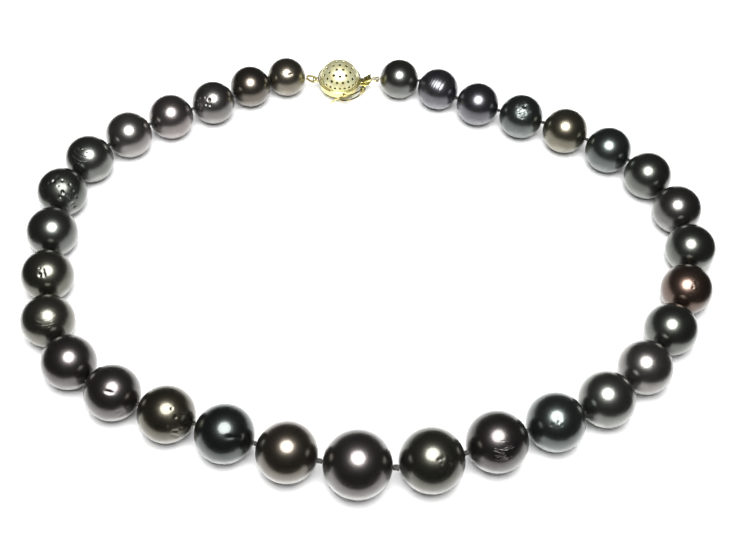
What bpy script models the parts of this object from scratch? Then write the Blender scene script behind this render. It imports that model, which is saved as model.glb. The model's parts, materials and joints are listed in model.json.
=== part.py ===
"""Graduated dark pearl necklace, hand-knotted on silk, closed by a round pierced gold box clasp.

Frame: +Z up, table at z = 0, +Y towards the clasp, +X to the right when seen from the front.
The closed strand lies on the table; the origin is under the middle of its outline. The clasp hangs
between the first and the last pearl, a little above the table.
"""

import math

import bmesh
import bpy
from mathutils import Matrix, Vector

MM = 0.001

# Strand -------------------------------------------------------------------------------------
PEARLS = 32
CENTRE_PEARL = 16  # counted from the clasp's box, down the left side; the joint tree's root
MEAN_DIAMETER = 11.95 * MM
GRADE_MIDDLE = 15.8  # where along the strand the sizes peak
GRADE_REACH = 16.4
GRADE_SLOPE = 1.0 * MM
GRADE_CUBE = 13.5 * MM
CENTRE_EXTRA = 1.0 * MM  # the centre pearl stands out from its neighbours
BORE_RADIUS = 0.5 * MM
THREAD_RADIUS = 0.25 * MM
KNOT_CLEARANCE = 0.15 * MM  # knot to the rim of a drill hole
GAP = 0.7 * MM  # between two pearls, filled by a knot
FRONT_GAP_EXTRA = 0.75 * MM
FRONT_GAP_REACH = 3.0  # pearls either side of the centre over which the gap widens
PEARL_STEPS = 16
PEARL_ARC = 9
KNOT_STEPS = 8

# How the strand lies: bends of the closed oval through its knots, in mm, clasp first, then down
# the left side, along the front and up the right side. The oval is scaled until the strand closes.
OVAL = [
    (-15.5, 56.5), (-33.5, 55), (-43.5, 45), (-64.5, 31), (-81, 10), (-78, -18), (-74.5, -35), (-61.5, -47.5),
    (-32, -56.5), (-2.5, -62.5), (17, -59), (29.5, -52.5), (54.5, -40), (70.5, -19.5), (78.5, 9), (68, 31.5),
    (43.5, 45), (20.5, 51), (4.5, 58.5),
]
OVAL_STEPS = 60

# Clasp, in its own frame: x from the box towards the tongue, z up, origin under the dome --------
CLASP_LIFT = 2.2 * MM  # the short stiff ends of the strand hold the clasp off the table
BOX_RADIUS = 5.35 * MM
BOX_WALL = 0.4 * MM
BOX_HEIGHT = 2.3 * MM
FLOOR = 0.4 * MM
DOME_RADIUS = 5.2 * MM
DOME_HEIGHT = 4.8 * MM
DOME_WALL = 0.35 * MM
DOME_RINGS = 8
DOME_STEPS = 36
HOLE_RADIUS = 0.34 * MM
HOLE_ROWS = 4  # rings of 6, 12, 18 and 24 holes round the middle one
HOLE_PITCH = math.radians(20)
RIM_RADIUS = 5.4 * MM
RIM_WIRE = 0.22 * MM
SLOT_HALF_WIDTH = 2.15 * MM
SLOT_LOW = 0.45 * MM
SLOT_HIGH = 2.05 * MM

EYELET = Vector((-6.42, 0, 1.6)) * MM  # box side, hangs on the left gimp
EYELET_RADIUS = 0.74 * MM
EYELET_WIRE = 0.2 * MM
END_RING = Vector((9.72, 0, 2.2)) * MM  # tongue side, hangs on the right gimp
END_RING_RADIUS = 0.58 * MM
END_RING_WIRE = 0.18 * MM

TONGUE_LOW = 0.72 * MM
TONGUE_THICK = 0.25 * MM
FOLD_X = -2.2 * MM
PRESS_AXIS = Vector((-2.0, 0, 1.3)) * MM
LATCH_PIVOT = Vector((6.35, -3.35, 1.2)) * MM
PIVOT_PIN_RADIUS = 0.3 * MM
PIVOT_SLEEVE = (0.45 * MM, 0.72 * MM)
LATCH_WIRE = 0.2 * MM
LATCH_Z = 1.5 * MM
STUD_ANGLE = math.radians(-78)
STUD_BALL = 0.48 * MM
STUD_NECK = 0.2 * MM
STUD_REACH = 6.0 * MM  # from the dome's axis to the ball's centre

GIMP_LEFT_REACH = 2.9 * MM  # from the pearl's face to the eyelet's axis
GIMP_LEFT_WIRE = 0.28 * MM
GIMP_RIGHT_REACH = 1.35 * MM
GIMP_RIGHT_WIRE = 0.2 * MM

# Base colours, roughness and metallic ------------------------------------------------------------
SILK = ((0.06, 0.055, 0.05), 0.8, 0.0)
GOLD = ((0.83, 0.66, 0.30), 0.22, 1.0)
GIMP_GOLD = ((0.72, 0.58, 0.26), 0.35, 1.0)
# a pearl's body colour runs through these overtones along the strand
OVERTONES = [
    (0.10, 0.080, 0.066), (0.075, 0.085, 0.075), (0.062, 0.078, 0.066), (0.088, 0.066, 0.072),
    (0.060, 0.074, 0.080), (0.105, 0.066, 0.058), (0.070, 0.070, 0.066), (0.064, 0.070, 0.092),
]


# Helpers -------------------------------------------------------------------------------------
def clear_scene():
    for obj in list(bpy.data.objects):
        bpy.data.objects.remove(obj, do_unlink=True)
    for group in list(bpy.data.collections):
        bpy.data.collections.remove(group)


def new_collection(name, hidden=False):
    group = bpy.data.collections.new(name)
    bpy.context.scene.collection.children.link(group)
    group.hide_render = hidden
    return group


def new_material(name, colour, roughness, metallic):
    mat = bpy.data.materials.new(name)
    mat.use_nodes = True
    bsdf = mat.node_tree.nodes["Principled BSDF"]
    bsdf.inputs["Base Color"].default_value = (*colour, 1.0)
    bsdf.inputs["Roughness"].default_value = roughness
    bsdf.inputs["Metallic"].default_value = metallic
    mat.diffuse_color = (*colour, 1.0)
    return mat


def finish(obj, look, smooth=True):
    """Link a part, give it its own material and its shading."""
    PARTS.objects.link(obj)
    if obj.type in {"MESH", "CURVE"}:
        obj.data.materials.clear()
        obj.data.materials.append(new_material(obj.name, *look))
    if obj.type == "MESH" and smooth:
        obj.data.shade_smooth()
    return obj


def cutter(mesh, name):
    obj = bpy.data.objects.new(name, mesh)
    CUTTERS.objects.link(obj)
    obj.hide_render = True
    obj.display_type = "WIRE"
    return obj


def boolean(obj, other, operation):
    mod = obj.modifiers.new(other.name, "BOOLEAN")
    mod.object = other
    mod.operation = operation
    mod.solver = "EXACT"


def mesh_from(name, verts, faces):
    mesh = bpy.data.meshes.new(name)
    mesh.from_pydata(verts, [], faces)
    mesh.validate()
    return mesh


def turned(name, profile, steps, closed=False):
    """Solid of revolution about local Z from (radius, z) points listed down the outer side."""
    verts = [(r, 0, z) for r, z in profile]
    edges = [(i, i + 1) for i in range(len(profile) - 1)]
    if closed:
        edges.append((len(profile) - 1, 0))
    mesh = bpy.data.meshes.new(name)
    mesh.from_pydata(verts, edges, [])
    obj = bpy.data.objects.new(name, mesh)
    mod = obj.modifiers.new("turn", "SCREW")
    mod.axis = "Z"
    mod.angle = math.tau
    mod.steps = steps
    mod.render_steps = steps
    mod.use_merge_vertices = True
    mod.merge_threshold = 0.00001
    mod.use_smooth_shade = True
    return obj


def strip(name, stations):
    """Closed bar along x from (x, z low, z high, half width) stations."""
    verts, faces = [], []
    for x, low, high, half in stations:
        verts += [(x, -half, low), (x, half, low), (x, half, high), (x, -half, high)]
    last = 4 * (len(stations) - 1)
    for s in range(len(stations) - 1):
        a = 4 * s
        for k in range(4):
            m = (k + 1) % 4
            faces.append((a + k, a + 4 + k, a + 4 + m, a + m))
    faces.append((0, 1, 2, 3))
    faces.append((last + 3, last + 2, last + 1, last))
    mesh = mesh_from(name, verts, faces)
    outward(mesh)
    return mesh


def outward(mesh):
    bm = bmesh.new()
    bm.from_mesh(mesh)
    bmesh.ops.recalc_face_normals(bm, faces=bm.faces)
    bm.to_mesh(mesh)
    bm.free()


def smooth_path(points, cuts, closed=False):
    """Catmull-Rom path through the points, with cuts pieces per span."""
    count = len(points)
    spans = count if closed else count - 1
    out = []
    for k in range(spans):
        p = [Vector(points[j % count] if closed else points[min(max(j, 0), count - 1)])
             for j in range(k - 1, k + 3)]
        for c in range(cuts):
            t = c / cuts
            out.append(
                0.5 * (2 * p[1] + (p[2] - p[0]) * t
                       + (2 * p[0] - 5 * p[1] + 4 * p[2] - p[3]) * t * t
                       + (3 * p[1] - p[0] - 3 * p[2] + p[3]) * t ** 3)
            )
    if not closed:
        out.append(Vector(points[-1]))
    return out


def wire(name, points, radius, closed=False, resolution=1):
    """Round wire along the points, its ends capped."""
    curve = bpy.data.curves.new(name, "CURVE")
    curve.dimensions = "3D"
    spline = curve.splines.new("POLY")
    spline.points.add(len(points) - 1)
    for target, point in zip(spline.points, points):
        target.co = (*point, 1)
    spline.use_cyclic_u = closed
    curve.bevel_depth = radius
    curve.bevel_resolution = resolution
    curve.use_fill_caps = not closed
    return bpy.data.objects.new(name, curve)


def wire_mesh(name, points, radius, closed=False, resolution=1):
    """The same wire as a welded mesh, ready to be cut or joined."""
    obj = wire(name, points, radius, closed, resolution)
    CUTTERS.objects.link(obj)
    graph = bpy.context.evaluated_depsgraph_get()
    mesh = bpy.data.meshes.new_from_object(obj.evaluated_get(graph))
    bpy.data.objects.remove(obj, do_unlink=True)
    bm = bmesh.new()
    bm.from_mesh(mesh)
    bmesh.ops.remove_doubles(bm, verts=bm.verts, dist=1e-6)
    bmesh.ops.recalc_face_normals(bm, faces=bm.faces)
    bm.to_mesh(mesh)
    bm.free()
    mesh.name = name
    return mesh


# Layout of the strand ----------------------------------------------------------------------------
def diameter(i):
    """Diameter of pearl i, counted from 0: small by the clasp, rising steeply to the centre."""
    u = 0.5 - abs(i - GRADE_MIDDLE) / GRADE_REACH
    extra = CENTRE_EXTRA if i == CENTRE_PEARL - 1 else 0.0
    return MEAN_DIAMETER + GRADE_SLOPE * u + GRADE_CUBE * u ** 3 + extra


def gap_after(i):
    """Gap between pearl i and pearl i + 1, widest beside the centre pearl."""
    away = abs(i + 1.0 - CENTRE_PEARL) / FRONT_GAP_REACH
    return GAP + FRONT_GAP_EXTRA * max(0.0, 1.0 - away)


def pearl_spans():
    """Along each pearl's drill line: its length from joint to joint, and its centre's place."""
    spans = []
    for i in range(PEARLS):
        radius = diameter(i) / 2
        before = GIMP_LEFT_REACH if i == 0 else gap_after(i - 1) / 2
        after = GIMP_RIGHT_REACH if i == PEARLS - 1 else gap_after(i) / 2
        spans.append((before + 2 * radius + after, before + radius))
    return spans


def step_along(path, index, start, length):
    """First point of the closed path at a straight distance from start, and its index."""
    count = len(path)
    k = index + 1
    while (path[k % count] - start).length < length:
        k += 1
    a, d = path[(k - 1) % count], path[k % count] - path[(k - 1) % count]
    e = a - start
    qa, qb, qc = d.dot(d), 2 * d.dot(e), e.dot(e) - length * length
    s = (-qb + math.sqrt(max(0.0, qb * qb - 4 * qa * qc))) / (2 * qa)
    return a + s * d, k - 1


def walk_oval(scale, spans):
    """Joint positions on the table plane, from the eyelet round to the end ring."""
    bends = [Vector(p) * MM * scale for p in OVAL]
    path = smooth_path(bends, OVAL_STEPS, closed=True)
    first, index = step_along(path, 0, path[0], -EYELET.x)
    joints = [first]
    for length, _ in spans:
        point, index = step_along(path, index, joints[-1], length)
        joints.append(point)
    return joints


def lay_strand():
    """Scale the oval until the last joint meets the clasp's far ring; centre the outline."""
    spans = pearl_spans()
    reach = math.hypot(END_RING.x - EYELET.x, END_RING.y - EYELET.y)
    low, high = 0.9, 1.1
    for _ in range(40):
        scale = (low + high) / 2
        joints = walk_oval(scale, spans)
        if (joints[-1] - joints[0]).length < reach:
            low = scale
        else:
            high = scale
    discs = []
    for i, (length, centre) in enumerate(spans):
        middle = joints[i].lerp(joints[i + 1], centre / length)
        discs.append((middle, diameter(i) / 2))
    shift = Vector((
        (min(c.x - r for c, r in discs) + max(c.x + r for c, r in discs)) / 2,
        (min(c.y - r for c, r in discs) + max(c.y + r for c, r in discs)) / 2,
    ))
    return [j - shift for j in joints], spans


def joint_heights():
    """Each knot is level with the middle of the larger pearl beside it; the ends rest level."""
    radii = [diameter(i) / 2 for i in range(PEARLS)]
    inner = [max(radii[i], radii[i + 1]) for i in range(PEARLS - 1)]
    return [2 * radii[0] - inner[0], *inner, 2 * radii[-1] - inner[-1]]


# Strand parts -------------------------------------------------------------------------------------
def pearl_profile(radius, offset):
    """Ball with a drilled hole through it, its centre offset along local Z."""
    start = math.asin(BORE_RADIUS / radius)
    points = []
    for k in range(PEARL_ARC + 1):
        a = start + (math.pi - 2 * start) * k / PEARL_ARC
        points.append((radius * math.sin(a), offset + radius * math.cos(a)))
    return points


def silk_profile(ends, knots):
    """Thread from end to end along local Z with a round knot at each end that has one."""
    low, high = ends
    profile = []
    for z, knot, way in ((high, knots[1], 1), (low, knots[0], -1)):
        if knot is None:
            ring = [(0, z), (THREAD_RADIUS, z)]
        else:
            tuck = math.acos(THREAD_RADIUS / knot)
            angles = [math.pi / 2 - k * (math.pi / 2 + tuck) / 4 for k in range(5)]
            ring = [(knot * math.cos(a), z + way * knot * math.sin(a)) for a in angles]
            ring[0] = (0, z + way * knot)
        profile += ring if way == 1 else ring[::-1]
    return profile


def place_along(obj, origin, towards):
    obj.location = origin
    obj.rotation_mode = "QUATERNION"
    obj.rotation_quaternion = (towards - origin).to_track_quat("Z", "Y")


def knot_radius(i):
    """Knot after pearl i: as large as the drill holes' rims beside it allow."""
    return math.hypot(gap_after(i) / 2, BORE_RADIUS) - KNOT_CLEARANCE


def build_pearl(i, joints, spans):
    """Pearl i, its origin on the joint that faces the centre pearl."""
    length, centre = spans[i]
    left_side = i < CENTRE_PEARL
    origin, towards = (joints[i + 1], joints[i]) if left_side else (joints[i], joints[i + 1])
    offset = length - centre if left_side else centre
    radius = diameter(i) / 2
    name = f"pearl_{i + 1:02d}"
    obj = turned(name, pearl_profile(radius, offset), PEARL_STEPS, closed=True)
    place_along(obj, origin, towards)
    finish(obj, (OVERTONES[(3 * i) % len(OVERTONES)], 0.18, 0.35))


def build_silk(i, joints, spans):
    """Silk through even pearl i with the knots on both sides of it."""
    length, centre = spans[i]
    last = i == PEARLS - 1
    end = centre + diameter(i) / 2 if last else length
    knots = (knot_radius(i - 1), None if last else knot_radius(i))
    name = f"silk_{i + 1:02d}"
    if i < CENTRE_PEARL:
        obj = turned(name, silk_profile((0, length), knots[::-1]), KNOT_STEPS)
        place_along(obj, joints[i + 1], joints[i])
    else:
        obj = turned(name, silk_profile((0, end), knots), KNOT_STEPS)
        place_along(obj, joints[i], joints[i + 1])
    finish(obj, SILK)


def gimp_path(reach, mouth, ring, ring_outer, wire_radius):
    """Loop in the upright plane (s, z): out of the pearl, down through the ring and back."""
    r = wire_radius
    side = r + 0.06 * MM
    out = 0.05 * MM + r
    under_ring = (reach - ring_outer - r + 0.25 * MM, ring - 0.75 * MM)
    lower_mouth = (out, mouth - side)
    sag = 0.1 * MM
    return [
        (out, mouth + side),
        (reach * 0.62, mouth + side * 0.6),
        (reach, ring + (mouth - ring) * 0.55),
        (reach, ring),
        (reach - 0.1 * MM, ring - 0.62 * MM),
        under_ring,
        ((under_ring[0] + out) / 2, (under_ring[1] + lower_mouth[1]) / 2 - sag),
        lower_mouth,
    ]


def build_gimp(name, joint, pearl_joint, reach, ring, ring_outer, wire_radius):
    """Gimp (coiled gold wire sheath) over the silk, its origin on the clasp ring's axis."""
    way = joint - pearl_joint
    way.z = 0
    way.normalize()
    flat = gimp_path(reach, joint.z, ring, ring_outer, wire_radius)
    points = smooth_path([way * (s - reach) + Vector((0, 0, z)) for s, z in flat], 4)
    obj = wire(name, points, wire_radius, resolution=1)
    obj.location = Vector((joint.x, joint.y, 0))
    finish(obj, GIMP_GOLD)


# Clasp parts ------------------------------------------------------------------------------------
def hang(obj, empty, point, look, at=Vector(), smooth=True):
    """Put a part drawn in the clasp's frame on the empty that stands on its joint axis."""
    obj.parent = empty
    obj.location = at - point
    return finish(obj, look, smooth)


def joint_empty(name, frame, point):
    empty = bpy.data.objects.new(name, None)
    empty.matrix_world = frame @ Matrix.Translation(point)
    empty.empty_display_size = 2 * MM
    PARTS.objects.link(empty)
    return empty


def build_base(empty):
    """Shallow round cup with a slot for the tongue."""
    inner = BOX_RADIUS - BOX_WALL
    profile = [
        (inner, BOX_HEIGHT), (BOX_RADIUS, BOX_HEIGHT), (BOX_RADIUS, 0.25 * MM),
        (BOX_RADIUS - 0.25 * MM, 0), (0, 0),
    ]
    inside = [(0, FLOOR), (inner, FLOOR)]
    obj = turned("clasp_base", [*inside, *profile], 40)
    slot = strip("slot", [
        (BOX_RADIUS - 2.2 * MM, SLOT_LOW, SLOT_HIGH, SLOT_HALF_WIDTH),
        (BOX_RADIUS + 1.0 * MM, SLOT_LOW, SLOT_HIGH, SLOT_HALF_WIDTH),
    ])
    slot_obj = cutter(slot, "tongue_slot")
    slot_obj.parent = empty
    slot_obj.location = -EYELET
    boolean(obj, slot_obj, "DIFFERENCE")
    hang(obj, empty, EYELET, GOLD, smooth=False)


def dome_point(angle, turn, scale=1.0):
    """Point of the dome's outer skin at an angle from its pole."""
    return Vector((
        scale * DOME_RADIUS * math.sin(angle) * math.cos(turn),
        scale * DOME_RADIUS * math.sin(angle) * math.sin(turn),
        scale * DOME_HEIGHT * math.cos(angle),
    ))


def hole_cutters():
    """Round punches square to the dome, in rings about its pole."""
    bm = bmesh.new()
    for row in range(HOLE_ROWS + 1):
        count = max(1, 6 * row)
        for k in range(count):
            turn = math.tau * k / count
            place = dome_point(row * HOLE_PITCH, turn)
            normal = Vector((
                place.x / DOME_RADIUS ** 2, place.y / DOME_RADIUS ** 2, place.z / DOME_HEIGHT ** 2
            )).normalized()
            turn_to = normal.to_track_quat("Z", "Y").to_matrix().to_4x4()
            bmesh.ops.create_cone(
                bm, cap_ends=True, segments=8, radius1=HOLE_RADIUS, radius2=HOLE_RADIUS,
                depth=3 * DOME_WALL, matrix=Matrix.Translation(place - normal * DOME_WALL / 2) @ turn_to,
            )
    mesh = bpy.data.meshes.new("dome_holes")
    bm.to_mesh(mesh)
    bm.free()
    return cutter(mesh, "dome_holes")


def build_dome(empty):
    """Thin pierced dome: a turned half shell with rings of round holes."""
    outer = [(DOME_RADIUS * math.sin(a), DOME_HEIGHT * math.cos(a))
             for a in (math.pi / 2 * k / DOME_RINGS for k in range(DOME_RINGS + 1))]
    outer[0] = (0, DOME_HEIGHT)
    inner = [((DOME_RADIUS - DOME_WALL) * math.sin(a), (DOME_HEIGHT - DOME_WALL) * math.cos(a))
             for a in (math.pi / 2 * k / DOME_RINGS for k in range(DOME_RINGS + 1))]
    inner[0] = (0, DOME_HEIGHT - DOME_WALL)
    obj = turned("clasp_dome", [*outer, *inner[::-1]], DOME_STEPS)
    holes = hole_cutters()
    lift = Vector((0, 0, BOX_HEIGHT + 0.05 * MM))
    holes.parent = empty
    holes.location = lift - EYELET
    boolean(obj, holes, "DIFFERENCE")
    hang(obj, empty, EYELET, GOLD, at=lift)


def ring_object(name, radius, wire_radius, steps=14, sides=6):
    """Closed round ring lying flat."""
    points = [(radius + wire_radius * math.cos(math.tau * k / sides),
               -wire_radius * math.sin(math.tau * k / sides)) for k in range(sides)]
    return turned(name, points, steps, closed=True)


def build_rim(empty):
    """Bead round the joint between dome and cup, clear of both."""
    radius = RIM_RADIUS + RIM_WIRE + 0.03 * MM
    obj = ring_object("clasp_rim", radius, RIM_WIRE, steps=40, sides=6)
    hang(obj, empty, EYELET, GOLD, at=Vector((0, 0, BOX_HEIGHT - 0.1 * MM)))


def build_eyelet(empty):
    obj = ring_object("box_eyelet", EYELET_RADIUS, EYELET_WIRE)
    hang(obj, empty, EYELET, GOLD, at=EYELET)


def build_stud(empty):
    """Ball on a short neck, standing out of the box's side for the safety latch."""
    neck_start = BOX_RADIUS + 0.03 * MM - STUD_REACH
    seat = math.asin(STUD_NECK / STUD_BALL)
    profile = [(0, STUD_BALL)]
    for k in range(1, 6):
        a = (math.pi - seat) * k / 5
        profile.append((STUD_BALL * math.sin(a), STUD_BALL * math.cos(a)))
    profile += [(STUD_NECK, neck_start), (0, neck_start)]
    obj = turned("latch_stud", profile, 12)
    way = Vector((math.cos(STUD_ANGLE), math.sin(STUD_ANGLE), 0))
    obj.rotation_mode = "QUATERNION"
    obj.rotation_quaternion = way.to_track_quat("Z", "Y")
    hang(obj, empty, EYELET, GOLD, at=way * STUD_REACH + Vector((0, 0, LATCH_Z)))


def build_tongue_plate(empty):
    """Lower leaf of the tongue, its outer end bent up to the end ring, with the latch's pivot."""
    low, high = TONGUE_LOW, TONGUE_LOW + TONGUE_THICK
    obj = bpy.data.objects.new("tongue_plate", strip("tongue_plate", [
        (FOLD_X, low, high, 1.2 * MM),
        (4.3 * MM, low, high, 1.6 * MM),
        (4.9 * MM, low, high, 1.15 * MM),
        (7.9 * MM, low, high, 1.15 * MM),
        (END_RING.x - END_RING_RADIUS - END_RING_WIRE - 0.03 * MM,
         END_RING.z - 0.15 * MM, END_RING.z + 0.1 * MM, 0.45 * MM),
    ]))
    # arm from the plate's edge out to the pivot
    start = Vector((6.9, -0.8, 0)) * MM
    way = Vector((LATCH_PIVOT.x, LATCH_PIVOT.y, 0)) - start
    arm = strip("arm", [
        (0, low + 0.03 * MM, high - 0.03 * MM, 0.4 * MM),
        (way.length, low + 0.03 * MM, high - 0.03 * MM, 0.4 * MM),
    ])
    arm_obj = cutter(arm, "pivot_arm")
    arm_obj.parent = empty
    arm_obj.location = start - END_RING
    arm_obj.rotation_euler.z = math.atan2(way.y, way.x)
    boolean(obj, arm_obj, "UNION")
    # pin the latch turns on, with a foot under it and a head over it
    top = LATCH_Z + 0.55 * MM
    pin_profile = [
        (0, top + 0.3 * MM), (0.5 * MM, top + 0.3 * MM), (0.5 * MM, top),
        (PIVOT_PIN_RADIUS, top), (PIVOT_PIN_RADIUS, high - 0.02 * MM),
        (0.62 * MM, high - 0.02 * MM), (0.62 * MM, low), (0, low),
    ]
    pin = turned("pivot_pin", pin_profile, 12)
    CUTTERS.objects.link(pin)
    pin.hide_render = True
    pin.display_type = "WIRE"
    pin.parent = empty
    pin.location = Vector((LATCH_PIVOT.x, LATCH_PIVOT.y, 0)) - END_RING
    boolean(obj, pin, "UNION")
    hang(obj, empty, END_RING, GOLD, smooth=False)


def build_tongue_spring(empty):
    """Upper leaf: rises from the fold to the catch, then steps down and out of the slot."""
    t = TONGUE_THICK
    obj = bpy.data.objects.new("tongue_spring", strip("tongue_spring", [
        (FOLD_X, 1.25 * MM, 1.25 * MM + t, 1.1 * MM),
        (4.2 * MM, 1.62 * MM, 1.62 * MM + t, 1.5 * MM),
        (4.5 * MM, 1.45 * MM, 1.92 * MM, 1.5 * MM),
        (4.6 * MM, 1.40 * MM, 1.40 * MM + t, 1.5 * MM),
        (4.9 * MM, 1.40 * MM, 1.40 * MM + t, 0.85 * MM),
        (6.6 * MM, 1.45 * MM, 1.45 * MM + t, 0.85 * MM),
    ]))
    hang(obj, empty, PRESS_AXIS, GOLD, smooth=False)


def build_thumb_tab(empty):
    """Ribbed tab on the upper leaf's outer end, pressed to free the tongue."""
    stations = []
    ribs, start, end = 4, 6.64 * MM, 8.6 * MM
    pitch = (end - start) / ribs
    for k in range(ribs):
        for part, height in ((0.0, 0.0), (0.3, 0.28), (0.7, 0.28), (0.98, 0.0)):
            f = (k + part) / ribs
            x = start + pitch * (k + part)
            low = (1.45 + 0.95 * f) * MM
            stations.append((x, low, low + (0.38 + 0.2 * f + height) * MM, (0.85 + 0.25 * f) * MM))
    obj = bpy.data.objects.new("tongue_thumb_tab", strip("tongue_thumb_tab", stations))
    hang(obj, empty, PRESS_AXIS, GOLD, smooth=False)


def build_end_ring(empty):
    obj = ring_object("tongue_end_ring", END_RING_RADIUS, END_RING_WIRE)
    hang(obj, empty, END_RING, GOLD, at=END_RING)


def build_latch(empty):
    """Safety latch: sleeve on the pivot, a long wire loop over the stud and a thumb tail."""
    pivot = Vector((LATCH_PIVOT.x, LATCH_PIVOT.y, 0))
    inner, outer = PIVOT_SLEEVE
    half = 0.5 * MM
    sleeve = turned("safety_latch", [
        (inner, half), (outer, half), (outer, -half), (inner, -half),
    ], 14, closed=True)

    def around(angle_deg, radius, dz):
        a = math.radians(angle_deg)
        p = Vector((radius * math.cos(a), radius * math.sin(a), dz * MM)) - pivot
        return p

    half_open = 0.85
    upper = [around(-33, 7.25 * MM, 0.3), around(-45, 7.2 * MM, half_open),
             around(-62, 7.12 * MM, half_open), around(-78, 7.05 * MM, half_open)]
    tip = [around(-89, 7.05 * MM, 0.4), around(-89, 7.05 * MM, -0.4)]
    lower = [Vector((p.x, p.y, -p.z)) for p in reversed(upper)]
    loop = wire_mesh("latch_loop", smooth_path(upper + tip + lower, 3, closed=True),
                     LATCH_WIRE, closed=True)
    tail = wire_mesh("latch_tail", smooth_path([
        around(-90.5, 7.05 * MM, 0.0), around(-96, 7.3 * MM, -0.1), around(-102, 7.85 * MM, -0.3),
        around(-108, 8.7 * MM, -0.55),
    ], 3), LATCH_WIRE)
    for mesh, name in ((loop, "latch_loop"), (tail, "latch_tail")):
        extra = cutter(mesh, name)
        extra.parent = empty
        boolean(sleeve, extra, "UNION")
    hang(sleeve, empty, LATCH_PIVOT, GOLD, at=LATCH_PIVOT)


def build_clasp(joints):
    """Box and tongue between the first and the last joint of the strand."""
    way = joints[-1] - joints[0]
    angle = math.atan2(way.y, way.x)
    turn = Matrix.Rotation(angle, 4, "Z")
    shift = Vector((joints[0].x, joints[0].y, CLASP_LIFT)) - turn @ Vector((EYELET.x, EYELET.y, 0))
    frame = Matrix.Translation(shift) @ turn
    box = joint_empty("box_joint", frame, EYELET)
    build_base(box)
    build_dome(box)
    build_rim(box)
    build_eyelet(box)
    build_stud(box)
    tongue = joint_empty("tongue_joint", frame, END_RING)
    build_tongue_plate(tongue)
    build_end_ring(tongue)
    press = joint_empty("press_joint", frame, PRESS_AXIS)
    build_tongue_spring(press)
    build_thumb_tab(press)
    build_latch(joint_empty("latch_joint", frame, LATCH_PIVOT + Vector((0, 0, LATCH_Z - LATCH_PIVOT.z))))
    return frame


def build():
    flat, spans = lay_strand()
    joints = [Vector((p.x, p.y, z)) for p, z in zip(flat, joint_heights())]
    for i in range(PEARLS):
        build_pearl(i, joints, spans)
        if i % 2:
            build_silk(i, joints, spans)
    build_gimp("gimp_left", joints[0], joints[1], GIMP_LEFT_REACH, CLASP_LIFT + EYELET.z,
               EYELET_RADIUS + EYELET_WIRE, GIMP_LEFT_WIRE)
    build_gimp("gimp_right", joints[-1], joints[-2], GIMP_RIGHT_REACH, CLASP_LIFT + END_RING.z,
               END_RING_RADIUS + END_RING_WIRE, GIMP_RIGHT_WIRE)
    build_clasp(joints)


clear_scene()
PARTS = new_collection("pearl_necklace")
CUTTERS = new_collection("cutters", hidden=True)
build()
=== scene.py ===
"""Looks of the pearl necklace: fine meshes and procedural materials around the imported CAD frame.

Metres, +Z up, the table at z = 0, the camera looking along +Y. Every piece takes its place from the
frame's nodes and joints; the numbers below only add what the CAD leaves out.
"""

import json
import math
import random

import bmesh
import bpy
import numpy as np
from mathutils import Matrix, Vector

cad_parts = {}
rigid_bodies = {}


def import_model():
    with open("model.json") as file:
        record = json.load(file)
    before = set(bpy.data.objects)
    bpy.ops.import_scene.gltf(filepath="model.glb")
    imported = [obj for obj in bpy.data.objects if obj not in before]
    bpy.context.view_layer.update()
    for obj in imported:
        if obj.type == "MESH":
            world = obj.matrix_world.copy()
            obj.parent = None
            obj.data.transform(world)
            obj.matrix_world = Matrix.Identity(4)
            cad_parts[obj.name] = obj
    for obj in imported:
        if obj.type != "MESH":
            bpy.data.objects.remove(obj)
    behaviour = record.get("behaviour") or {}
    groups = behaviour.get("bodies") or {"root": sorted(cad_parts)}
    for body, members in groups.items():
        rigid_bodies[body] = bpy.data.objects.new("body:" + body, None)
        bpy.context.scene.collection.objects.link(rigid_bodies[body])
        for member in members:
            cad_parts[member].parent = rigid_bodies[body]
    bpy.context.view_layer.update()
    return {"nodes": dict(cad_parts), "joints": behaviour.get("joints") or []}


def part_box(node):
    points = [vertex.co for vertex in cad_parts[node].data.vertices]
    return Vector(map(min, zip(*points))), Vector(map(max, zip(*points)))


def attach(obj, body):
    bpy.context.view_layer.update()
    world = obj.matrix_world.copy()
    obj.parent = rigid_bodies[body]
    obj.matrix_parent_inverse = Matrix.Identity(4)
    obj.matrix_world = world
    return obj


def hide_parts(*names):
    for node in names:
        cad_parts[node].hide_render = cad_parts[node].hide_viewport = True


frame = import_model()

MM = 0.001
PEARLS = 32

# Nacre tones: body colour seen straight on, and the overtone towards the rim ----------------------
TONES = {
    "taupe": ((0.150, 0.134, 0.104), (0.225, 0.205, 0.160)),
    "mauve": ((0.150, 0.134, 0.128), (0.225, 0.200, 0.194)),
    "silver": ((0.150, 0.144, 0.136), (0.230, 0.221, 0.209)),
    "grey_green": ((0.112, 0.116, 0.106), (0.189, 0.194, 0.176)),
    "green_black": ((0.092, 0.097, 0.085), (0.162, 0.171, 0.149)),
    "olive": ((0.112, 0.110, 0.090), (0.184, 0.180, 0.148)),
    "aubergine": ((0.104, 0.094, 0.092), (0.162, 0.157, 0.148)),
    "bronze": ((0.132, 0.120, 0.088), (0.216, 0.205, 0.153)),
    "teal": ((0.092, 0.106, 0.102), (0.162, 0.180, 0.169)),
    "brown": ((0.122, 0.104, 0.084), (0.176, 0.162, 0.135)),
    "cherry": ((0.165, 0.112, 0.088), (0.171, 0.135, 0.112)),
    "blue_violet": ((0.118, 0.118, 0.130), (0.189, 0.189, 0.205)),
}

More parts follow.
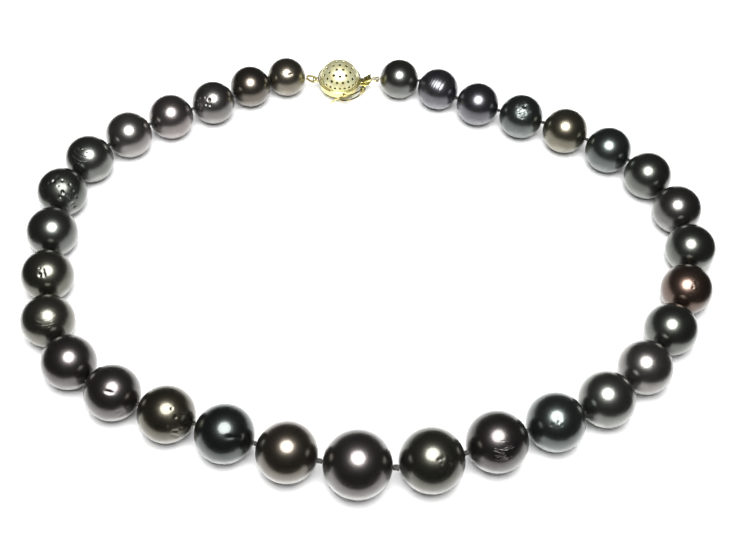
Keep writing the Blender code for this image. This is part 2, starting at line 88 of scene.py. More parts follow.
# Pearls from the clasp's box down the left side and up the right to its tongue: the tone, how light
# it is, and its marks. A mark is (kind, azimuth, elevation, spread, strength): azimuth 0 faces the
# viewer and grows to the right, elevation 90 is the top, spread is the half angle of the marked
# patch, all in degrees. A groove is (kind, place along the drill line, width, 0, strength).
PEARL_LOOKS = [
    ("taupe", 1.00, [("gouge", 26, 50, 8, 2.0)]),
    ("brown", 0.80, []),
    ("silver", 0.88, [("pits", -22, 40, 24, 4.0)]),
    ("mauve", 1.05, []),
    ("silver", 1.02, []),
    ("grey_green", 0.90, [("scratches", -16, 56, 24, 1.3)]),
    ("green_black", 0.75, [("pits", 0, 50, 66, 3.2)]),
    ("grey_green", 0.80, []),
    ("olive", 0.76, [("gouge", 16, 58, 8, 2.2), ("pits", 6, 64, 12, 2.0)]),
    ("olive", 0.80, [("scratches", 20, 60, 25, 0.3)]),
    ("aubergine", 0.80, []),
    ("aubergine", 0.75, [("gouge", 12, 62, 8, 2.2), ("pits", 40, 10, 20, 1.4)]),
    ("bronze", 0.58, [("pits", 48, 34, 34, 3.0)]),
    ("teal", 0.50, [("gouge", 33, 53, 9, 2.2), ("gouge", 52, 45, 6, 2.0)]),
    ("brown", 0.75, []),
    ("aubergine", 0.80, []),
    ("olive", 0.62, [("pits", 36, 58, 22, 1.5)]),
    ("aubergine", 0.65, [("scratches", 10, 45, 24, 0.6)]),
    ("teal", 0.72, [("pits", -10, 60, 24, 1.0)]),
    ("grey_green", 0.95, [("groove", 0.45, 0.03, 0, 0.9)]),
    ("silver", 0.90, []),
    ("green_black", 0.85, []),
    ("cherry", 0.66, [("pits", 6, 50, 24, 0.8)]),
    ("green_black", 0.85, []),
    ("silver", 0.66, []),
    ("green_black", 0.86, []),
    ("teal", 0.82, []),
    ("bronze", 0.94, []),
    ("teal", 0.82, [("pits", -6, 62, 26, 2.0), ("scratches", -6, 62, 26, 0.8)]),
    ("blue_violet", 0.76, []),
    ("blue_violet", 0.84, [("groove", at / 8, 0.02, 0, 2.6) for at in range(-3, 5)]),
    ("grey_green", 0.86, []),
]

BALL_TURNS = 200  # steps round the drill line
BALL_ARC = 112  # steps from one drill hole to the other
PITS_PER_DEGREE = 0.42
PIT_SIZE = (0.034, 0.066)  # radians
BORE_EDGE = 0.12 * MM  # rounding of a drill hole's rim

# Camera and studio -------------------------------------------------------------------------------
CAMERA_PLACE = Vector((-0.00025, -0.15199, 0.20675))
CAMERA_PITCH = math.radians(54.58)  # below the horizon
CAMERA_ROLL = math.radians(-5.358)
CAMERA_LENS = 51.08  # mm on a 36 mm frame
SOFTBOX_PLACE = Vector((-0.002, -0.074, 0.300))
SOFTBOX_SIZE = 0.25
SOFTBOX_POWER = 2.5
FILL_STRENGTH = 1.0
GLOW_START, GLOW_END = 0.13, 0.32  # how far out the floor turns from lit card into even white
CARD_LOW = (-0.100, -0.085)  # the white card under the necklace, as the pearls mirror it
CARD_HIGH = (0.098, 0.090)
ROOM_GREY = 0.022  # how light the room looks in a mirror


# Frame -------------------------------------------------------------------------------------------
JOINT_AT = {frozenset((j["parent"], j["child"])): Vector(j["pos_m"]) for j in frame["joints"]}
CHAIN = ["clasp_box", *(f"strand_{i:02d}" for i in range(1, PEARLS + 1)), "tongue"]
BORE_RADIUS = 0.5 * MM


def link_point(i):
    """Joint after chain body i: 0 is the box's eyelet, 32 the tongue's ring, the rest are knots."""
    return JOINT_AT[frozenset((CHAIN[i], CHAIN[i + 1]))]


def box_middle(node):
    low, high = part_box(node)
    return (low + high) / 2


def box_radius(node):
    """Half the width of a round node that stands upright."""
    low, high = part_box(node)
    return max(high.x - low.x, high.y - low.y) / 2


def fit_ball(node):
    """Centre and radius of the ball through a node's vertices."""
    co = np.array([v.co for v in frame["nodes"][node].data.vertices], float)
    co = np.unique(np.round(co, 7), axis=0)
    middle = co.mean(0)
    rel = co - middle
    system = np.c_[2 * rel, np.ones(len(rel))]
    answer = np.linalg.lstsq(system, (rel ** 2).sum(1), rcond=None)[0]
    radius = math.sqrt(answer[3] + answer[:3] @ answer[:3])
    return Vector(middle + answer[:3]), radius


# Meshes ------------------------------------------------------------------------------------------
def mesh_of(name, verts, faces):
    mesh = bpy.data.meshes.new(name)
    mesh.from_pydata([tuple(v) for v in verts], [], [tuple(f) for f in faces])
    mesh.update()
    return mesh


def grid_faces(rows, columns, rows_closed, columns_closed):
    """Quads over a rows x columns sheet of points, numbered row by row."""
    faces = []
    for r in range(rows if rows_closed else rows - 1):
        low, high = r * columns, ((r + 1) % rows) * columns
        for c in range(columns if columns_closed else columns - 1):
            n = (c + 1) % columns
            faces.append((low + c, low + n, high + n, high + c))
    return faces


def revolve(name, profile, steps, closed=False):
    """Surface of revolution about Z from (radius, z) points; closed joins the last to the first."""
    turn = np.linspace(0, math.tau, steps, endpoint=False)
    ring = np.array(profile, float)
    x = ring[:, 0, None] * np.cos(turn)
    y = ring[:, 0, None] * np.sin(turn)
    z = np.repeat(ring[:, 1, None], steps, 1)
    verts = np.stack([x, y, z], -1).reshape(-1, 3)
    return tidy(mesh_of(name, verts, grid_faces(len(ring), steps, closed, True)))


def tidy(mesh, merge=1e-6):
    """Weld touching points, drop empty faces and turn the faces outward."""
    bm = bmesh.new()
    bm.from_mesh(mesh)
    bmesh.ops.remove_doubles(bm, verts=bm.verts, dist=merge)
    bmesh.ops.dissolve_degenerate(bm, dist=merge / 10, edges=bm.edges)
    bmesh.ops.recalc_face_normals(bm, faces=bm.faces)
    bm.to_mesh(mesh)
    bm.free()
    return mesh


def tube(name, points, radius, sides=12, closed=False, ply=0.0, lay=0.0):
    """Round tube along the points. A ply above 0 gives it three strands that turn once every lay."""
    path = np.array([tuple(p) for p in points], float)
    count = len(path)
    radii = np.broadcast_to(np.array(radius, float), (count,))
    if closed:
        along = np.roll(path, -1, 0) - np.roll(path, 1, 0)
    else:
        along = np.gradient(path, axis=0)
    along /= np.linalg.norm(along, axis=1)[:, None]
    side = np.cross(along[0], (0.0, 0.0, 1.0))
    if np.linalg.norm(side) < 0.2:
        side = np.cross(along[0], (1.0, 0.0, 0.0))
    sides_at = [side / np.linalg.norm(side)]
    for k in range(1, count):
        s = sides_at[-1] - along[k] * (sides_at[-1] @ along[k])
        sides_at.append(s / np.linalg.norm(s))
    sides_at = np.array(sides_at)
    up = np.cross(along, sides_at)
    gone = np.r_[0, np.cumsum(np.linalg.norm(np.diff(path, axis=0), axis=1))]
    turn = np.linspace(0, math.tau, sides, endpoint=False)
    rows = []
    for k in range(count):
        lobes = 1 + ply * np.cos(3 * turn - (math.tau * gone[k] / lay if lay else 0.0))
        reach = (radii[k] * lobes)[:, None]
        rows.append(path[k] + reach * (np.cos(turn)[:, None] * sides_at[k] + np.sin(turn)[:, None] * up[k]))
    verts = np.concatenate(rows)
    faces = grid_faces(count, sides, closed, True)
    if not closed:
        faces += [tuple(range(sides))[::-1], tuple((count - 1) * sides + c for c in range(sides))]
    return tidy(mesh_of(name, verts, faces), 1e-7)


def smooth_path(points, cuts, closed=False):
    """Catmull-Rom path through the points, with cuts pieces per span."""
    count = len(points)
    out = []
    for k in range(count if closed else count - 1):
        p = [Vector(points[j % count] if closed else points[min(max(j, 0), count - 1)])
             for j in range(k - 1, k + 3)]
        for c in range(cuts):
            t = c / cuts
            out.append(0.5 * (2 * p[1] + (p[2] - p[0]) * t + (2 * p[0] - 5 * p[1] + 4 * p[2] - p[3]) * t * t
                              + (3 * p[1] - p[0] - 3 * p[2] + p[3]) * t ** 3))
    if not closed:
        out.append(Vector(points[-1]))
    return out


def joined(name, meshes):
    """One mesh holding all the given ones."""
    bm = bmesh.new()
    for mesh in meshes:
        bm.from_mesh(mesh)
    out = bpy.data.meshes.new(name)
    bm.to_mesh(out)
    bm.free()
    return out


def cut(mesh, cutter, operation="DIFFERENCE"):
    """The mesh after an exact Boolean with the cutter."""
    target = bpy.data.objects.new("cut_target", mesh)
    tool = bpy.data.objects.new("cut_tool", cutter)
    for obj in (target, tool):
        bpy.context.scene.collection.objects.link(obj)
    mod = target.modifiers.new("cut", "BOOLEAN")
    mod.object = tool
    mod.operation = operation
    mod.solver = "EXACT"
    graph = bpy.context.evaluated_depsgraph_get()
    out = bpy.data.meshes.new_from_object(target.evaluated_get(graph))
    for obj in (target, tool):
        bpy.data.objects.remove(obj, do_unlink=True)
    return out


def rounded(mesh, width, angle=28, segments=3):
    """Round off every edge sharper than the angle."""
    bm = bmesh.new()
    bm.from_mesh(mesh)
    bmesh.ops.remove_doubles(bm, verts=bm.verts, dist=1e-6)
    bmesh.ops.dissolve_limit(bm, angle_limit=math.radians(1), verts=bm.verts, edges=bm.edges)
    edges = [e for e in bm.edges if len(e.link_faces) == 2 and e.calc_face_angle(0) > math.radians(angle)]
    bmesh.ops.bevel(bm, geom=edges, offset=width, segments=segments, affect="EDGES", profile=0.5,
                    clamp_overlap=True)
    bmesh.ops.recalc_face_normals(bm, faces=bm.faces)
    bm.to_mesh(mesh)
    bm.free()
    return mesh


def cad_copy(node):
    """A copy of a CAD node's mesh, free to be refined."""
    return frame["nodes"][node].data.copy()


def piece(name, mesh, material, body, stands_for, place=None, sharp=35):
    """Put a finished mesh into the scene on its CAD body, in the place of its CAD node."""
    obj = bpy.data.objects.new(name, mesh)
    bpy.context.scene.collection.objects.link(obj)
    if place is not None:
        obj.matrix_world = place
    mesh.materials.clear()
    mesh.materials.append(material)
    mesh.shade_smooth()
    mesh.set_sharp_from_angle(angle=math.radians(sharp))
    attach(obj, body)
    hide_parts(stands_for)
    return obj


# Materials ---------------------------------------------------------------------------------------
class Nodes:
    """Small helper for wiring a material's node tree."""

    def __init__(self, name):
        self.mat = bpy.data.materials.new(name)
        self.mat.use_nodes = True
        self.tree = self.mat.node_tree
        self.bsdf = self.tree.nodes["Principled BSDF"]

    def add(self, kind, **values):
        node = self.tree.nodes.new(kind)
        for key, value in values.items():
            if hasattr(node, key):
                setattr(node, key, value)
            else:
                node.inputs[key.replace("_", " ")].default_value = value
        return node

    def wire(self, source, target):
        self.tree.links.new(source, target)

    def math(self, operation, a, b=None, c=None, clamp=False):
        node = self.add("ShaderNodeMath", operation=operation, use_clamp=clamp)
        for slot, value in enumerate((a, b, c)):
            if value is None:
                continue
            if isinstance(value, (int, float)):
                node.inputs[slot].default_value = value
            else:
                self.wire(value, node.inputs[slot])
        return node.outputs[0]

    def mapped(self, source, scale, rotation=(0, 0, 0)):
        node = self.add("ShaderNodeMapping")
        node.inputs["Scale"].default_value = scale
        node.inputs["Rotation"].default_value = rotation
        self.wire(source, node.inputs["Vector"])
        return node.outputs[0]

    def noise(self, vector, scale, detail=3.0, roughness=0.55, distortion=0.0):
        node = self.add("ShaderNodeTexNoise")
        node.inputs["Scale"].default_value = scale
        node.inputs["Detail"].default_value = detail
        node.inputs["Roughness"].default_value = roughness
        node.inputs["Distortion"].default_value = distortion
        self.wire(vector, node.inputs["Vector"])
        return node.outputs["Fac"]

    def span(self, value, low, high, to_low=0.0, to_high=1.0, smooth=True):
        node = self.add("ShaderNodeMapRange", interpolation_type="SMOOTHSTEP" if smooth else "LINEAR")
        for key, number in (("From Min", low), ("From Max", high), ("To Min", to_low), ("To Max", to_high)):
            node.inputs[key].default_value = number
        self.wire(value, node.inputs["Value"])
        return node.outputs["Result"]

    def blend(self, factor, a, b):
        node = self.add("ShaderNodeMix", data_type="RGBA")
        for slot, value in ((6, a), (7, b)):
            if isinstance(value, tuple):
                node.inputs[slot].default_value = (*value, 1.0)
            else:
                self.wire(value, node.inputs[slot])
        if isinstance(factor, (int, float)):
            node.inputs[0].default_value = factor
        else:
            self.wire(factor, node.inputs[0])
        return node.outputs[2]

    def bump(self, height, distance, strength=1.0, before=None):
        node = self.add("ShaderNodeBump")
        node.inputs["Distance"].default_value = distance
        node.inputs["Strength"].default_value = strength
        self.wire(height, node.inputs["Height"])
        if before is not None:
            self.wire(before, node.inputs["Normal"])
        return node.outputs[0]

    def object_mm(self):
        """The piece's own coordinates, in millimetres."""
        coords = self.add("ShaderNodeTexCoord").outputs["Object"]
        return self.mapped(coords, (1000.0, 1000.0, 1000.0))


def patch_mask(n, vector, way, spread):
    """1 near the direction way from the pearl's middle, falling to 0 past the spread (degrees)."""
    unit = n.add("ShaderNodeVectorMath", operation="NORMALIZE")
    n.wire(vector, unit.inputs[0])
    dot = n.add("ShaderNodeVectorMath", operation="DOT_PRODUCT")
    n.wire(unit.outputs[0], dot.inputs[0])
    dot.inputs[1].default_value = way
    edge = math.cos(math.radians(spread))
    inner = math.cos(math.radians(spread * 0.6))
    return n.span(dot.outputs["Value"], edge, inner)


def way_of(azimuth, elevation, turn):
    """Unit vector of a mark, in the pearl's own frame."""
    a, e = math.radians(azimuth), math.radians(elevation)
    world = Vector((math.sin(a) * math.cos(e), -math.cos(a) * math.cos(e), math.sin(e)))
    return turn.inverted() @ world


def nacre(name, tone, lightness, marks, turn, seed):
    """Dark pearl: a satin mirror under a clear skin, its colour drifting with the angle of view."""
    body, rim = (tuple(c * lightness for c in colour) for colour in TONES[tone])
    n = Nodes(name)
    mm = n.object_mm()
    shifted = n.add("ShaderNodeVectorMath", operation="ADD")
    n.wire(mm, shifted.inputs[0])
    shifted.inputs[1].default_value = (seed * 13.7, seed * 7.1, seed * 3.3)
    mm_seeded = shifted.outputs[0]

    cloud = n.noise(mm_seeded, 0.22, 2.0)
    facing = n.add("ShaderNodeLayerWeight", Blend=0.42).outputs["Facing"]
    drift = n.math("ADD", facing, n.span(cloud, 0.3, 0.7, -0.13, 0.13))
    colour = n.blend(n.span(drift, 0.10, 0.75), body, rim)
    grain = n.noise(mm_seeded, 3.2, 5.0, 0.65)
    colour = n.blend(n.span(grain, 0.35, 0.75, 0.0, 0.22), colour, tuple(c * 0.72 for c in body))
    n.wire(colour, n.bsdf.inputs["Base Color"])

    skin = n.noise(mm_seeded, 1.1, 3.0, 0.5)
    normal = n.bump(skin, 0.009 * MM)
    normal = n.bump(n.noise(mm_seeded, 7.0, 2.0, 0.5), 0.0006 * MM, before=normal)
    rough = n.span(grain, 0.25, 0.8, 0.27, 0.33, smooth=False)
    for kind, azimuth, elevation, spread, strength in marks:
        if kind == "pits":
            mask = patch_mask(n, mm, way_of(azimuth, elevation, turn), spread)
            rough = n.math("ADD", rough, n.math("MULTIPLY", mask, 0.02 * strength))
        elif kind == "scratches":
            mask = patch_mask(n, mm, way_of(azimuth, elevation, turn), spread)
            stretched = n.mapped(mm_seeded, (0.35, 3.4, 0.35), (0.4, 0.3, 0.9))
            lines = n.span(n.noise(stretched, 1.0, 2.0, 0.4), 0.52, 0.60)
            dent = n.math("MULTIPLY", lines, mask)
            normal = n.bump(n.math("MULTIPLY", dent, -strength), 0.06 * MM, before=normal)
            rough = n.math("ADD", rough, n.math("MULTIPLY", dent, 0.1 * strength))
    n.wire(rough, n.bsdf.inputs["Roughness"])
    n.wire(normal, n.bsdf.inputs["Normal"])
    n.bsdf.inputs["Metallic"].default_value = 0.96
    n.bsdf.inputs["Coat Weight"].default_value = 0.5
    n.bsdf.inputs["Coat Roughness"].default_value = 0.08
    n.bsdf.inputs["Coat IOR"].default_value = 1.5
    n.wire(normal, n.bsdf.inputs["Coat Normal"])
    return n.mat


def gold(name, colour, low_rough, high_rough, metallic=1.0, scratch=1.0, groove_shade_factor=1.0):
    """Worn yellow gold: fine crossing scratches and a slow drift of colour; a shade factor below 1 paints shade
    into the hollows.
    """
    n = Nodes(name)
    mm = n.object_mm()
    drift = n.noise(mm, 0.35, 3.0)
    darker = (colour[0] * 0.86, colour[1] * 0.78, colour[2] * 0.66)
    tone = n.blend(n.span(drift, 0.35, 0.7), colour, darker)
    # Painted shade: a factor below 1 darkens the hollows (low pointiness) towards that fraction of the gold
    # colour.
    if groove_shade_factor < 1:
        painted_shade_mask = n.span(n.add("ShaderNodeNewGeometry").outputs["Pointiness"], 0.40, 0.50, 1.0, 0.0)
        tone = n.blend(painted_shade_mask, tone, tuple(c * groove_shade_factor for c in colour))
    n.wire(tone, n.bsdf.inputs["Base Color"])
    along = n.noise(n.mapped(mm, (0.8, 14.0, 5.0), (0.0, 0.0, 0.5)), 1.0, 3.0)
    across = n.noise(n.mapped(mm, (13.0, 0.9, 6.0), (0.0, 0.3, 0.2)), 1.0, 3.0)
    wear = n.math("ADD", n.span(along, 0.45, 0.75), n.span(across, 0.5, 0.8))
    n.wire(n.span(wear, 0.0, 1.4, low_rough, high_rough, smooth=False), n.bsdf.inputs["Roughness"])
    normal = n.bump(n.noise(mm, 0.9, 2.0), 0.03 * MM)
    n.wire(n.bump(wear, 0.004 * MM * scratch, before=normal), n.bsdf.inputs["Normal"])
    n.bsdf.inputs["Metallic"].default_value = metallic
    return n.mat


def silk(name):
    """Dark twisted silk."""
    n = Nodes(name)
    mm = n.object_mm()
    fibres = n.noise(n.mapped(mm, (9.0, 9.0, 2.5), (0.5, 0.2, 0.0)), 1.0, 4.0)
    n.wire(n.blend(fibres, (0.010, 0.009, 0.008), (0.040, 0.037, 0.033)), n.bsdf.inputs["Base Color"])
    n.wire(n.bump(fibres, 0.02 * MM), n.bsdf.inputs["Normal"])
    n.bsdf.inputs["Roughness"].default_value = 0.62
    n.bsdf.inputs["Sheen Weight"].default_value = 0.12
    n.bsdf.inputs["Sheen Roughness"].default_value = 0.4
    return n.mat


# Pearls ------------------------------------------------------------------------------------------
def ball_profile(radius):
    """Closed (radius, z) loop: the ball's arc, a rounded drill-hole rim, the bore and the far rim."""
    start = math.asin((BORE_RADIUS + BORE_EDGE) / radius)
    arc = [(radius * math.sin(a), radius * math.cos(a))
           for a in np.linspace(start, math.pi - start, BALL_ARC)]
    height = radius * math.cos(start)
    rim = []
    for k in range(1, 5):
        a = k * math.pi / 8
        rim.append((BORE_RADIUS + BORE_EDGE * (1 - math.sin(a)), -height + BORE_EDGE * (1 - math.cos(a))))
    bore = [(BORE_RADIUS, z) for z in np.linspace(-height * 0.9, height * 0.9, 6)]
    far_rim = [(r, -z) for r, z in reversed(rim)]
    return [*arc, *rim, *bore, *far_rim]


def unevenness(ways, marks, turn, seed):
    """Relative swell of the ball in each direction: slow lumps, ring grooves and gouges."""
    rng = random.Random(seed)
    swell = np.zeros(len(ways))
    for _ in range(7):
        axis = np.array([rng.gauss(0, 1) for _ in range(3)])
        axis /= np.linalg.norm(axis)
        swell += 0.0011 * np.cos(rng.uniform(1.6, 4.6) * (ways @ axis) + rng.uniform(0, math.tau))
    for kind, first, second, spread, strength in marks:
        if kind == "groove":
            wave = 0.02 * np.sin(3 * np.arctan2(ways[:, 1], ways[:, 0]) + seed)
            off = ways[:, 2] - first - wave
            swell -= 0.006 * strength * np.exp(-(off / (2 * second)) ** 2)
        elif kind == "gouge":
            way = np.array(way_of(first, second, turn))
            side = np.cross(way, (0.2, 0.1, 0.95))
            side /= np.linalg.norm(side)
            long_way = np.cross(way, side)
            u, v = ways @ side, ways @ long_way
            size = math.radians(spread)
            hit = np.exp(-(u / (0.45 * size)) ** 2 - (v / size) ** 2) * (ways @ way > 0)
            swell -= 0.012 * strength * hit
        elif kind == "pits":
            for _ in range(round(PITS_PER_DEGREE * spread)):
                away = math.radians(spread) * math.sqrt(rng.random())
                around = rng.uniform(0, math.tau)
                lift = second + math.degrees(away) * math.sin(around)
                pit = np.array(way_of(first + math.degrees(away) * math.cos(around), lift, turn))
                size = rng.uniform(*PIT_SIZE)
                off = np.arccos(np.clip(ways @ pit, -1, 1))
                swell -= 0.16 * size * strength * np.exp(-(off / size) ** 2)
    return swell


def build_pearl(i):
    """Pearl i, counted from 1, drilled along the line between the two joints beside it."""
    node = f"pearl_{i:02d}"
    centre, radius = fit_ball(node)
    drill = (link_point(i) - link_point(i - 1)).normalized()
    turn = drill.to_track_quat("Z", "Y").to_matrix()
    tone, lightness, marks = PEARL_LOOKS[i - 1]
    mesh = revolve(node, ball_profile(radius), BALL_TURNS, closed=True)
    co = np.zeros(len(mesh.vertices) * 3)
    mesh.vertices.foreach_get("co", co)
    co = co.reshape(-1, 3)
    length = np.linalg.norm(co, axis=1)
    swell = unevenness(co / length[:, None], marks, turn, 100 + i)
    skin = np.clip((length / radius - 0.75) / 0.2, 0, 1)
    mesh.vertices.foreach_set("co", (co * (1 + swell * skin)[:, None]).ravel())
    mesh.update()
    place = Matrix.Translation(centre) @ turn.to_4x4()
    look = nacre(f"nacre_{i:02d}", tone, lightness, marks, turn, i)
    obj = piece(f"pearl_{i:02d}_nacre", mesh, look, f"strand_{i:02d}", node, place, sharp=60)
    return centre, radius


# Silk --------------------------------------------------------------------------------------------
def knot_mesh(name, size, half_length):
    """Pulled-tight overhand knot about Z, over a small core."""
    strand = size * 0.36
    reach = (size - strand) / 3
    points = []
    for t in np.linspace(0, math.tau, 90, endpoint=False):
        points.append((reach * (math.sin(t) + 2 * math.sin(2 * t)), reach * (math.cos(t) - 2 * math.cos(2 * t)),
                       -max(half_length - strand, 0.05 * MM) * math.sin(3 * t)))
    wraps = tube(name, points, strand, sides=15, closed=True, ply=0.14, lay=strand * 5)
    core = revolve(name + "_core", [(size * 0.6 * math.sin(a), half_length * 0.8 * math.cos(a))
                                    for a in np.linspace(0, math.pi, 9)], 16)
    return joined(name, [wraps, core])


def moved(mesh, matrix):
    mesh.transform(matrix)
    return mesh


def build_silk(i, balls, material):
    """Silk through even pearl i with the knots either side of it."""
    node = f"silk_{i:02d}"
    start, end = link_point(i - 1), link_point(i)
    line = end - start
    turn = line.to_track_quat("Z", "Y").to_matrix().to_4x4()
    last = i == PEARLS
    centre, radius = balls[i]
    stop = (centre - start).length + radius if last else line.length
    path = [start + line.normalized() * s for s in np.linspace(0, stop, 60)]
    parts = [tube(node, path, 0.25 * MM, sides=12, ply=0.12, lay=1.1 * MM)]
    for which, point in ((i - 1, start), (i, end)):
        if which == PEARLS:
            continue
        gap = (point - centre).length - radius
        size = math.hypot(gap, BORE_RADIUS) - 0.13 * MM
        knot = knot_mesh(f"knot_{which:02d}", size, gap * 0.97)
        parts.append(moved(knot, Matrix.Translation(point) @ turn))
    obj = piece(f"silk_{i:02d}_thread", joined(node, parts), material, f"strand_{i:02d}", node, sharp=80)


# Gimps -------------------------------------------------------------------------------------------
def gimp_course(reach, mouth, ring, ring_outer, wire):
    """The CAD gimp's course in the upright plane (s, z): out of the pearl, through the ring, back."""
    side = wire + 0.06 * MM
    out = 0.05 * MM + wire
    under = (reach - ring_outer - wire + 0.25 * MM, ring - 0.75 * MM)
    return [
        (out, mouth + side), (reach * 0.62, mouth + side * 0.6),
        (reach, ring + (mouth - ring) * 0.55), (reach, ring),
        (reach - 0.1 * MM, ring - 0.62 * MM), under,
        ((under[0] + out) / 2, (under[1] + mouth - side) / 2 - 0.1 * MM), (out, mouth - side),
    ]


def build_gimp(name, joint, centre, radius, ring_node, wire, body, material):
    """Gimp as what it is: a close coil of very fine wire on the CAD gimp's course."""
    reach = (centre - joint).length - radius
    way = joint - centre
    way.z = 0
    way.normalize()
    flat = gimp_course(reach, joint.z, box_middle(ring_node).z, box_radius(ring_node), wire)
    base = Vector((joint.x, joint.y, 0))
    course = smooth_path([base + way * (s - reach) + Vector((0, 0, z)) for s, z in flat], 24)
    path = np.array([tuple(p) for p in course])
    gone = np.r_[0, np.cumsum(np.linalg.norm(np.diff(path, axis=0), axis=1))]
    coil_wire = wire * 0.42
    pitch = coil_wire * 2.2
    steps = int(gone[-1] / pitch * 14)
    at = np.linspace(0, gone[-1], steps)
    spine = np.stack([np.interp(at, gone, path[:, k]) for k in range(3)], 1)
    along = np.gradient(spine, axis=0)
    along /= np.linalg.norm(along, axis=1)[:, None]
    side = np.cross(np.array(way), (0.0, 0.0, 1.0))
    up = np.cross(along, side)
    turn = math.tau * at / pitch
    coil = spine + (wire - coil_wire) * (np.cos(turn)[:, None] * side + np.sin(turn)[:, None] * up)
    parts = [tube(name, coil, coil_wire, sides=8), tube(name + "_core", course, wire * 0.62, sides=10)]
    obj = piece(f"{name}_coil", joined(name, parts), material, body, name, sharp=80)


# Clasp, in its own frame: x from the box towards the tongue, origin under the dome --------------------
def clasp_frame():
    middle = box_middle("clasp_dome")
    way = box_middle("tongue_end_ring") - box_middle("box_eyelet")
    turn = Matrix.Rotation(math.atan2(way.y, way.x), 4, "Z")
    return Matrix.Translation((middle.x, middle.y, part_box("clasp_base")[0].z)) @ turn


CLASP = clasp_frame()
DOME_WALL = 0.35 * MM
BOX_WALL = 0.4 * MM
BOX_FLOOR = 0.4 * MM
HOLE_RADIUS = 0.34 * MM
HOLE_PITCH = math.radians(20)
HOLE_ROWS = 4


def clasp_local(point):
    return CLASP.inverted() @ point


def clasp_piece(name, mesh, material, body, node, sharp=35):
    obj = piece(name, mesh, material, body, node, CLASP, sharp)
    return obj


def dome_punches(radius, height):
    """Round punches with a slight countersink, in rings about the dome's pole."""
    punches = []
    profile = [(0, 1.0 * MM), (HOLE_RADIUS * 1.5, 1.0 * MM), (HOLE_RADIUS * 1.22, 0.02 * MM),
               (HOLE_RADIUS, -0.09 * MM), (HOLE_RADIUS, -0.9 * MM), (0, -0.9 * MM)]
    for row in range(HOLE_ROWS + 1):
        count = max(1, 6 * row)
        for k in range(count):
            a, turn = row * HOLE_PITCH, math.tau * k / count
            place = Vector((radius * math.sin(a) * math.cos(turn), radius * math.sin(a) * math.sin(turn),
                            height * math.cos(a)))
            normal = Vector((place.x / radius ** 2, place.y / radius ** 2, place.z / height ** 2))
            quat = normal.to_track_quat("Z", "Y").to_matrix().to_4x4()
            punches.append(moved(revolve("punch", profile, 28), Matrix.Translation(place) @ quat))
    return joined("punches", punches)


def build_dome(material, inside):
    low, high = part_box("clasp_dome")
    radius, height, base = box_radius("clasp_dome"), high.z - low.z, clasp_local(low).z
    angles = np.linspace(0, math.pi / 2, 30)
    outer = [(radius * math.sin(a), height * math.cos(a)) for a in angles]
    inner = [((radius - DOME_WALL) * math.sin(a), (height - DOME_WALL) * math.cos(a)) for a in angles]
    shell = revolve("dome", [*outer, *inner[::-1]], 120)
    mesh = cut(shell, dome_punches(radius, height))
    dome = clasp_piece("clasp_dome_pierced", moved(mesh, Matrix.Translation((0, 0, base))), material,
                       "clasp_box", "clasp_dome", sharp=28)
    # The inner faces and the walls of the holes take the second, near-black material: painted shade inside the
    # dome and its holes.
    mesh.materials.append(inside)
    for face in mesh.polygons:
        out = Vector((face.center.x, face.center.y, (face.center.z - base) * (radius / height) ** 2))
        facing = face.normal.dot(out.normalized())
        face.material_index = 1 if facing < -0.3 or (abs(facing) < 0.3 and face.area > 0) else 0
    return dome


def build_base(material):
    low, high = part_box("clasp_base")
    radius, top = box_radius("clasp_base"), high.z - low.z
    inner = radius - BOX_WALL
    foot = [(radius - 0.25 * MM * (1 - math.cos(a)), 0.25 * MM * (1 - math.sin(a)))
            for a in np.linspace(0, math.pi / 2, 6)]
    lip = 0.08 * MM
    profile = [(0, BOX_FLOOR), (inner, BOX_FLOOR), (inner, top - lip), (inner + lip, top),
               (radius - lip, top), (radius, top - lip), *foot, (0, 0)]
    cup = revolve("cup", profile, 128)
    slot_low, slot_high, slot_half = 0.45 * MM, 2.05 * MM, 2.15 * MM
    bm = bmesh.new()
    bmesh.ops.create_cube(bm, size=1.0, matrix=Matrix.Translation((radius, 0, (slot_low + slot_high) / 2))
                          @ Matrix.Diagonal((4 * BOX_WALL, 2 * slot_half, slot_high - slot_low, 1)))
    slot = bpy.data.meshes.new("slot")
    bm.to_mesh(slot)
    bm.free()
    clasp_piece("clasp_base_cup", cut(cup, slot), material, "clasp_box", "clasp_base", sharp=28)


def torus(name, radius, wire, steps=96, sides=20):
    points = [(radius + wire * math.cos(a), -wire * math.sin(a))
              for a in np.linspace(0, math.tau, sides, endpoint=False)]
    return revolve(name, points, steps, closed=True)


def build_ring(name, node, body, material):
    """A round wire ring in the place of a CAD ring that lies flat."""
    low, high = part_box(node)
    wire = (high.z - low.z) / 2
    ring = torus(name, box_radius(node) - wire, wire)
    clasp_piece(name, moved(ring, Matrix.Translation(clasp_local(box_middle(node)))), material, body, node)


def build_stud(material):
    """Ball and neck in the box's side, where the CAD stud is."""
    low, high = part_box("latch_stud")
    height = (high.z - low.z) / 2
    middle = clasp_local(box_middle("latch_stud"))
    way = Vector((math.cos(math.radians(-78)), math.sin(math.radians(-78)), 0))
    start = box_radius("clasp_base") + 0.03 * MM
    ball_at = 6.0 * MM
    neck = 0.2 * MM
    seat = math.asin(neck / height)
    profile = [(height * math.sin(a), height * math.cos(a)) for a in np.linspace(0, math.pi - seat, 24)]
    # a small drilled dimple in the ball's end
    profile[0] = (0, height - 0.22 * MM)
    profile[1] = (0.1 * MM, height - 0.2 * MM)
    profile.insert(2, (0.17 * MM, math.sqrt(height ** 2 - (0.17 * MM) ** 2)))
    profile = [p for k, p in enumerate(profile) if k < 3 or p[0] > 0.19 * MM or p[1] < 0]
    profile += [(neck, start - ball_at), (0, start - ball_at)]
    turn = way.to_track_quat("Z", "Y").to_matrix().to_4x4()
    place = Matrix.Translation(way * ball_at + Vector((0, 0, middle.z)))
    clasp_piece("latch_stud_ball", moved(revolve("stud", profile, 40), place @ turn), material,
                "clasp_box", "latch_stud", sharp=50)


